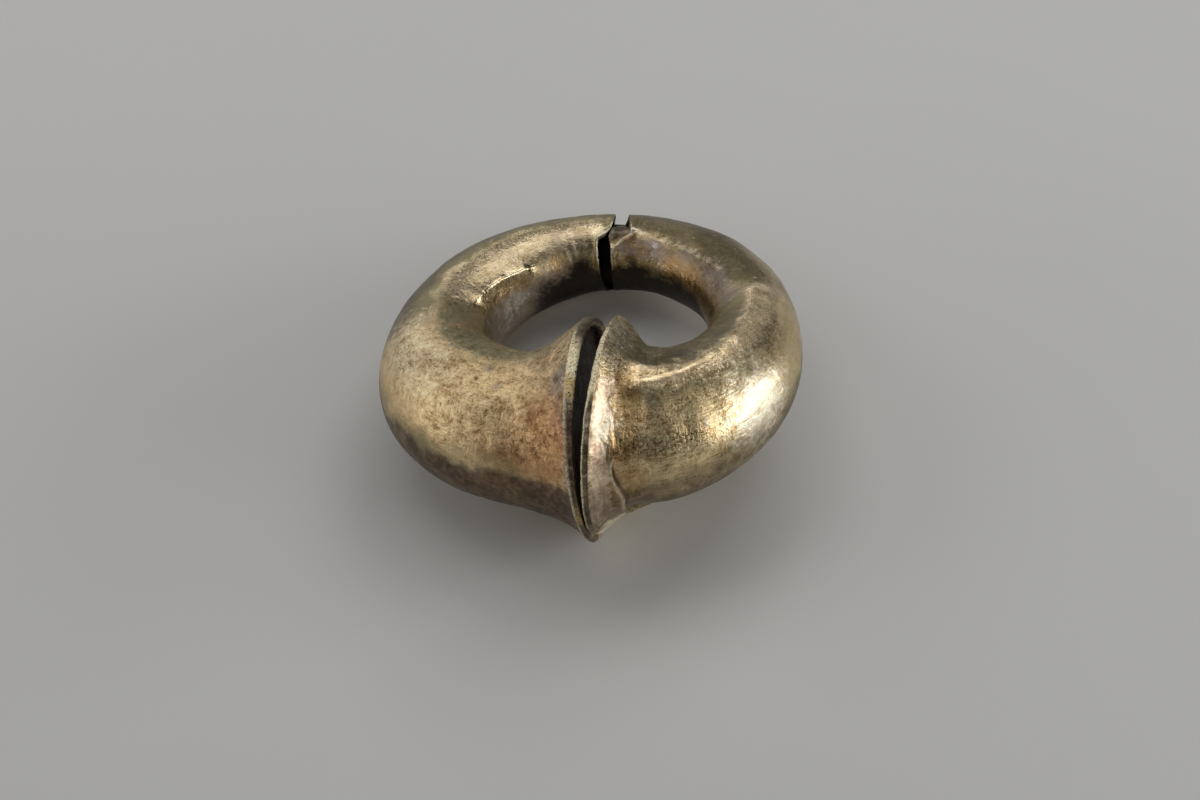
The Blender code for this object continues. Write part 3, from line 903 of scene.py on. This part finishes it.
class Nodes:
    """A few short calls that keep a node tree readable."""

    def __init__(self, name):
        self.material = bpy.data.materials.new(name)
        self.material.use_nodes = True
        self.tree = self.material.node_tree
        self.shader = self.tree.nodes["Principled BSDF"]
        self.where = self.node("TexCoord", {}, {}, "Object")
        self.straight = self.node("Attribute", {"attribute_name": "straight"}, {}, "Vector")

    def put(self, socket, value):
        if isinstance(value, bpy.types.NodeSocket):
            self.tree.links.new(value, socket)
        else:
            socket.default_value = value

    def finish(self, name, value):
        """Puts a value into the shader's socket of this name."""
        self.put(self.shader.inputs[name], value)

    def node(self, kind, settings, values, output):
        """One output of a new node, once its settings are made and its sockets filled or linked."""
        node = self.tree.nodes.new("ShaderNode" + kind)
        for name, setting in settings.items():
            setattr(node, name, setting)
        for socket, value in values.items():
            self.put(node.inputs[socket], value)
        return node.outputs[output]

    def zone(self, name):
        return self.node("Attribute", {"attribute_name": name}, {}, "Fac")

    def math(self, operation, a, b):
        return self.node("Math", {"operation": operation}, {0: a, 1: b}, 0)

    def plus(self, a, b):
        return self.math("ADD", a, b)

    def minus(self, a, b):
        return self.math("SUBTRACT", a, b)

    def times(self, a, b):
        return self.math("MULTIPLY", a, b)

    def most(self, value, *others):
        """The largest of the values."""
        for other in others:
            value = self.math("MAXIMUM", value, other)
        return value

    def swing(self, texture, reach):
        """A texture about 0 in place of 0.5, stretched by the reach."""
        return self.times(self.minus(texture, 0.5), reach)

    def vector(self, operation, a, b):
        """A vector sum; SCALE takes a number as its second value."""
        second = "Scale" if operation == "SCALE" else 1
        output = "Value" if operation in ("DOT_PRODUCT", "DISTANCE") else "Vector"
        return self.node("VectorMath", {"operation": operation}, {0: a, second: b}, output)

    def noise(self, per_mm, detail=4.0, roughness=0.55, squash=(1, 1, 1), straight=False):
        """Noise with this many lumps to the millimetre; a squash under 1 draws them out along that axis."""
        place = {"Vector": self.straight if straight else self.where, "Scale": squash}
        place = self.node("Mapping", {}, place, "Vector")
        values = {"Vector": place, "Scale": per_mm / MM, "Detail": detail, "Roughness": roughness}
        return self.node("TexNoise", {}, values, "Fac")

    def spots(self, per_mm, size):
        """Ragged round spots, so many cells to the millimetre, each up to this share of its cell."""
        where = self.vector("SCALE", self.where, per_mm / MM)
        jitter = {"Vector": self.where, "Scale": 2.5 * per_mm / MM}
        jitter = self.node("TexNoise", {}, jitter, "Color")
        shift = self.vector("SCALE", self.vector("SUBTRACT", jitter, (0.5, 0.5, 0.5)), 0.8)
        cells = {"Vector": self.vector("ADD", where, shift), "Scale": 1.0}
        cell_colour = self.node("TexVoronoi", {}, cells, "Color")
        chance = self.node("SeparateColor", {}, {"Color": cell_colour}, "Red")
        radius = self.times(self.math("POWER", chance, 2.0), size)
        return self.ramp(self.minus(radius, cell_colour.node.outputs["Distance"]), -0.04, 0.07)

    def ramp(self, value, low, high, out_low=0.0, out_high=1.0):
        values = {"Value": value, "From Min": low, "From Max": high, "To Min": out_low, "To Max": out_high}
        return self.node("MapRange", {"interpolation_type": "SMOOTHSTEP"}, values, "Result")

    def mix(self, amount, a, b, kind="RGBA"):
        values = {"Factor": amount, "A": a, "B": b}
        return self.node("Mix", {"data_type": kind}, values, "Result")

    def blend(self, amount, a, b):
        """A mix of plain numbers."""
        return self.mix(amount, a, b, "FLOAT")

    def bump(self, height, distance):
        return self.node("Bump", {}, {"Height": height, "Distance": distance}, "Normal")


# Scratches: share and degrees of the middle, heading from along the ring in degrees, length and width in
# millimetres.
SCRATCHES = (
    (0.39, 107, 30, 1.1, 0.05), (0.398, 103, 32, 1.0, 0.05), (0.445, 95, 10, 0.9, 0.06),
    (0.832, 5, -8, 0.7, 0.06), (0.868, -5, 0, 0.8, 0.05), (0.789, 17, -20, 0.9, 0.05),
    (0.7725, 12, -20, 0.8, 0.05), (-0.764, 40, 60, 0.5, 0.07), (-0.6, 60, 15, 1.2, 0.04),
    (0.6, 20, 40, 1.4, 0.04),
)


def scratch_marks(n, scratches):
    """1 on the scratches, each a thin capsule about its own short line."""
    marks = 0.0
    for middle, heading, length, width in scratches:
        off = n.vector("SUBTRACT", n.where, middle)
        along = n.math("MINIMUM", n.vector("DOT_PRODUCT", off, heading), length / 2)
        away = n.vector("DISTANCE", off, n.vector("SCALE", heading, n.most(along, -length / 2)))
        marks = n.most(marks, n.ramp(away, 0.3 * width, 0.6 * width, 1.0, 0.0))
    return marks


def place_scratches(turn, shift):
    """Middle, heading, length and width of each scratch, on the ring as it lies."""
    placed = []
    for share, degrees, heading, length, width in SCRATCHES:
        at, angle = np.array(share), np.array(math.radians(degrees))
        along = surface(at + NORMAL_STEP, angle) - surface(at - NORMAL_STEP, angle)
        around = surface(at, angle + NORMAL_STEP) - surface(at, angle - NORMAL_STEP)
        tilt = math.radians(heading)
        line = turn @ unit(math.cos(tilt) * unit(along) + math.sin(tilt) * unit(around))
        middle = turn @ surface(at, angle) + shift
        placed.append((tuple(middle.tolist()), tuple(line.tolist()), length * MM, width * MM))
    return placed


def brush_strokes(n):
    """Fine strokes, along the ring in some patches and round the tube in the others."""
    along = n.noise(8.0, 2, 0.6, squash=(0.14, 1.0, 1.0), straight=True)
    across = n.noise(8.0, 2, 0.6, squash=(1.0, 0.14, 0.14), straight=True)
    return n.blend(n.ramp(n.noise(0.6, 2), 0.52, 0.60), along, across)


def pit_marks(n):
    pits = n.most(n.spots(2.3, 0.3), n.times(n.spots(1.0, 0.3), 0.75))
    dense = n.ramp(n.noise(0.5, 2), 0.44, 0.60, 0.05, 1.0)
    return n.times(n.times(pits, dense), n.plus(n.times(n.zone("pitted"), 0.85), 0.15))


def liveliness(n, bright):
    """How much of the fine texture shows: little of it on the whitened and bright painted highlights and
    where the metal is even.
    """
    calm = n.most(n.zone("painted_white_highlight"), n.times(n.zone("blush"), 0.85), n.times(bright, 0.8))
    calm = n.most(calm, n.times(n.zone("even"), 0.85))
    return n.minus(1.0, n.times(calm, 0.7))


def gold_alloy(scratches):
    n = Nodes("gold_alloy")
    broad = n.noise(0.35, 3)
    mottle = n.noise(1.0, 4, 0.62)
    cloud = n.noise(2.1, 3, 0.62)
    grain = n.noise(4.4, 3, 0.68)
    speck = n.noise(8.5, 2, 0.6)
    strokes = brush_strokes(n)
    pits = pit_marks(n)
    scratch = scratch_marks(n, scratches)
    # The bright zones are painted highlights.
    bright = n.most(n.zone("gold"), n.zone("painted_cream_highlight"))
    lively = liveliness(n, bright)

    def edged(name):
        """A zone whose border breaks up with the grain."""
        value = n.plus(n.plus(n.zone(name), n.swing(grain, 0.9)), n.swing(cloud, 0.9))
        return n.ramp(value, 0.1, 0.85)

    flange_streaks = n.ramp(n.noise(2.2, 3, 0.6, squash=(1.0, 0.6, 0.12)), 0.4, 0.62)
    flange = n.mix(flange_streaks, (0.90, 0.73, 0.56, 1), (0.60, 0.43, 0.33, 1))
    colour = n.mix(n.ramp(broad, 0.35, 0.65), (0.50, 0.40, 0.235, 1), (0.60, 0.50, 0.31, 1))
    colour = n.mix(n.ramp(mottle, 0.42, 0.64, 0.0, 0.45), colour, (0.32, 0.25, 0.14, 1))
    # The gold, cream and whitened colours are painted highlights and the grey-white one painted glints.
    for name, amount, zone_colour in (
        ("tan", 0.85, (0.84, 0.625, 0.355, 1)),
        ("amber", 0.8, (0.90, 0.70, 0.40, 1)),
        ("rose", 0.75, (0.58, 0.47, 0.35, 1)),
        ("olive", 0.85, (0.185, 0.165, 0.075, 1)),
        ("mauve", 0.75, (0.33, 0.275, 0.25, 1)),
        ("copper", 0.75, (0.56, 0.29, 0.13, 1)),
        ("rust", 0.75, (0.44, 0.27, 0.11, 1)),
        ("blush", 0.75, flange),
        ("painted_cream_highlight", 0.9, (0.90, 0.76, 0.52, 1)),
        ("pale", 0.8, (0.74, 0.72, 0.70, 1)),
        ("gold", 0.85, (0.97, 0.78, 0.50, 1)),
        ("painted_white_highlight", 0.8, (0.90, 0.85, 0.70, 1)),
    ):
        colour = n.mix(n.times(edged(name), amount), colour, zone_colour)

    # The fine texture makes the metal lighter and darker, and the darker the browner.
    tone = 0.0
    reaches = ((mottle, 1.9), (cloud, 1.7), (grain, 1.4), (speck, 1.45))
    for texture, reach in (*reaches, (strokes, n.minus(1.8, n.zone("tan")))):
        tone = n.plus(tone, n.swing(texture, reach))
    tone = n.times(tone, lively)
    colour = n.vector("SCALE", colour, n.plus(tone, 1.0))
    browned = n.mix(n.ramp(tone, -0.5, 0.05), (1.0, 0.84, 0.62, 1), (1.0, 1.0, 1.0, 1))
    colour = n.vector("MULTIPLY", colour, browned)

    # What lies over the metal: painted shade, pits, scratches, bare edges that are partly painted highlight,
    # crust, grains, painted shade in the hollows and the dark, streaked end plates.
    painted_shade_colour = n.mix(n.ramp(mottle, 0.42, 0.6), (0.09, 0.062, 0.036, 1), (0.105, 0.066, 0.056, 1))
    painted_shade_amount = n.times(n.zone("shade"), n.ramp(n.plus(mottle, cloud), 0.8, 1.2, 1.0, 0.72))
    edge = n.times(n.zone("edge"), n.ramp(grain, 0.38, 0.5, 0.25, 1.0))
    crust = n.times(n.zone("crust"), n.ramp(n.plus(grain, speck), 0.86, 0.95))
    crust_colour = n.vector("SCALE", (1.0, 0.91, 0.62), n.plus(n.swing(speck, 3.0), 1.0))
    grains = n.times(n.zone("grains"), n.ramp(speck, 0.48, 0.56))
    # Painted shade in the hollows, near black.
    painted_deep_shade = n.ramp(n.plus(n.zone("painted_deep_shade"), n.swing(grain, 1.0)), 0.05, 0.75, 0.0, 0.95)
    streaks = n.ramp(n.noise(3.0, 3, 0.6, squash=(1.0, 1.0, 0.1)), 0.4, 0.65)
    plate_colour = n.mix(streaks, (0.05, 0.035, 0.03, 1), (0.13, 0.085, 0.07, 1))
    for amount, over in (
        (painted_shade_amount, painted_shade_colour),
        (n.times(pits, 0.65), (0.19, 0.13, 0.08, 1)),
        (n.times(scratch, 0.7), (0.85, 0.74, 0.50, 1)),
        (edge, (0.96, 0.86, 0.62, 1)),
        (crust, crust_colour),
        (grains, (0.72, 0.47, 0.12, 1)),
        (painted_deep_shade, (0.012, 0.009, 0.007, 1)),
        (n.zone("plate"), plate_colour),
    ):
        colour = n.mix(amount, colour, over)
    n.finish("Base Color", colour)

    dull = n.most(edged("olive"), edged("mauve"), edged("tan"), painted_deep_shade, n.zone("shade"))
    rough_by = n.blend(lively, 0.3, n.ramp(speck, 0.35, 0.65, 0.2, 0.42))
    rough_by = n.plus(rough_by, n.swing(grain, n.times(lively, 0.5)))
    rougher = ((dull, 0.1), (n.zone("painted_white_highlight"), 0.13), (n.zone("blush"), 0.08))
    for amount, change in (*rougher, (bright, -0.08), (crust, 0.12), (scratch, -0.12)):
        rough_by = n.plus(rough_by, n.times(amount, change))
    n.finish("Roughness", rough_by)
    # Less metal on the crust, on the edges and on the painted gold highlight.
    crust_edge_and_highlight = n.most(n.times(crust, 1.25), n.times(edge, 0.8), n.times(n.zone("gold"), 0.5))
    metal = n.blend(n.most(dull, pits), 1.0, 0.8)
    n.finish("Metallic", n.minus(metal, n.times(crust_edge_and_highlight, 0.7)))

    height = 0.0
    raised = ((cloud, 0.05), (grain, 0.045), (speck, 0.024), (strokes, 0.045))
    for texture, rise in (*raised, (pits, -0.03), (scratch, -0.012)):
        height = n.plus(height, n.times(texture, rise))
    height = n.plus(n.times(height, lively), n.times(n.noise(0.9, 3), 0.08))
    n.finish("Normal", n.bump(height, MM))
    return n.material


def make_ornament():
    faces, points, places, parts = drop_loose(build_skin())
    laid, turn, shift = lay_down(points, smooth_outline())
    ornament = make_mesh("ear_ornament", laid, faces)
    shade(ornament, parts == ARRIS)
    layers = zones(places, points, parts)
    for name, values in layers.items():
        store(ornament, name, np.clip(values, 0, 1))
    store(ornament, "straight", straightened(places))
    ornament.data.materials.append(gold_alloy(place_scratches(turn, shift)))
    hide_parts("ring")
    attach(ornament, "root")


# The stage

# The camera: where it stands, the point that it is framed on and where that point falls in the picture.
PICTURE = (1200, 800)
FOCAL_PIXELS = 3956.25
EYE = Vector((0.0175772, -0.1897911, 0.2368611))
AIM = Vector((0.00040568, 0.00121974, 0.0061664))
AIM_PIXEL = (597.01, 348.88)
ROLL = math.radians(-2.807)
SENSOR = 36.0


def make_camera():
    data = bpy.data.cameras.new("camera")
    camera = add_object("camera", data)
    towards = (AIM - EYE).normalized()
    level_right = towards.cross(Vector((0, 0, 1))).normalized()
    level_up = level_right.cross(towards)
    right = math.cos(ROLL) * level_right + math.sin(ROLL) * level_up
    up = math.cos(ROLL) * level_up - math.sin(ROLL) * level_right
    across = (AIM_PIXEL[0] - PICTURE[0] / 2) / FOCAL_PIXELS
    above = (PICTURE[1] / 2 - AIM_PIXEL[1]) / FOCAL_PIXELS
    forward = (towards - across * right - above * up).normalized()
    right = (right - forward * right.dot(forward)).normalized()
    up = right.cross(forward)
    turn = Matrix((right, up, -forward)).transposed().to_4x4()
    camera.matrix_world = Matrix.Translation(EYE) @ turn
    data.sensor_width = SENSOR
    data.lens = FOCAL_PIXELS * SENSOR / PICTURE[0]
    data.clip_start = 0.01
    bpy.context.scene.camera = camera


# Soft boxes round the ring: name, bearing from the camera's side towards the right, height over the floor in
# degrees, width, height, power and colour.
LIGHT_DISTANCE = 0.34
LIGHTS = (
    ("right_low", 86, 10, 0.31, 0.20, 0.61, (1.0, 0.98, 0.94)),
    ("right_high", 66, 46, 0.18, 0.18, 0.05, (1.0, 0.98, 0.94)),
    ("back_high", 156, 49, 0.24, 0.20, 0.26, (1.0, 0.98, 0.95)),
    ("back_low", 204, 8, 0.24, 0.09, 0.09, (1.0, 0.98, 0.95)),
    ("left_low", 288, 7, 0.20, 0.10, 0.11, (1.0, 0.97, 0.92)),
    ("left_high", 262, 26, 0.26, 0.22, 0.18, (1.0, 0.97, 0.92)),
    ("left_top", 222, 60, 0.20, 0.16, 0.16, (1.0, 0.97, 0.92)),
    ("front_high", 345, 42, 0.22, 0.12, 0.06, (1.0, 0.98, 0.95)),
)


def make_lights():
    for name, bearing, rise, width, height, power, tint in LIGHTS:
        data = bpy.data.lights.new(name, "AREA")
        data.shape = "RECTANGLE"
        data.size = width
        data.size_y = height
        data.energy = power
        data.color = tint
        light = add_object(name, data)
        across = math.radians(bearing)
        flat = math.cos(math.radians(rise))
        towards = Vector((math.sin(across) * flat, -math.cos(across) * flat, math.sin(math.radians(rise))))
        light.location = AIM + LIGHT_DISTANCE * towards
        light.rotation_euler = towards.to_track_quat("Z", "Y").to_euler()
    world = bpy.data.worlds.new("studio")
    world.use_nodes = True
    background = world.node_tree.nodes["Background"]
    background.inputs["Color"].default_value = (0.75, 0.78, 0.82, 1)
    background.inputs["Strength"].default_value = 0.03
    bpy.context.scene.world = world


def make_floor():
    half = 1.5
    corners = np.array(((-half, -half, 0), (half, -half, 0), (half, half, 0), (-half, half, 0)))
    floor = make_mesh("floor", corners, [(0, 1, 2, 3)])
    n = Nodes("pale_floor")
    n.finish("Base Color", n.mix(n.noise(0.02, 2), (0.74, 0.75, 0.76, 1), (0.78, 0.79, 0.80, 1)))
    n.finish("Roughness", 0.75)
    floor.data.materials.append(n.material)


def set_picture():
    bpy.context.scene.view_settings.view_transform = "Standard"
    bpy.context.scene.view_settings.exposure = 0.0


make_ornament()
make_camera()
make_lights()
make_floor()
set_picture()
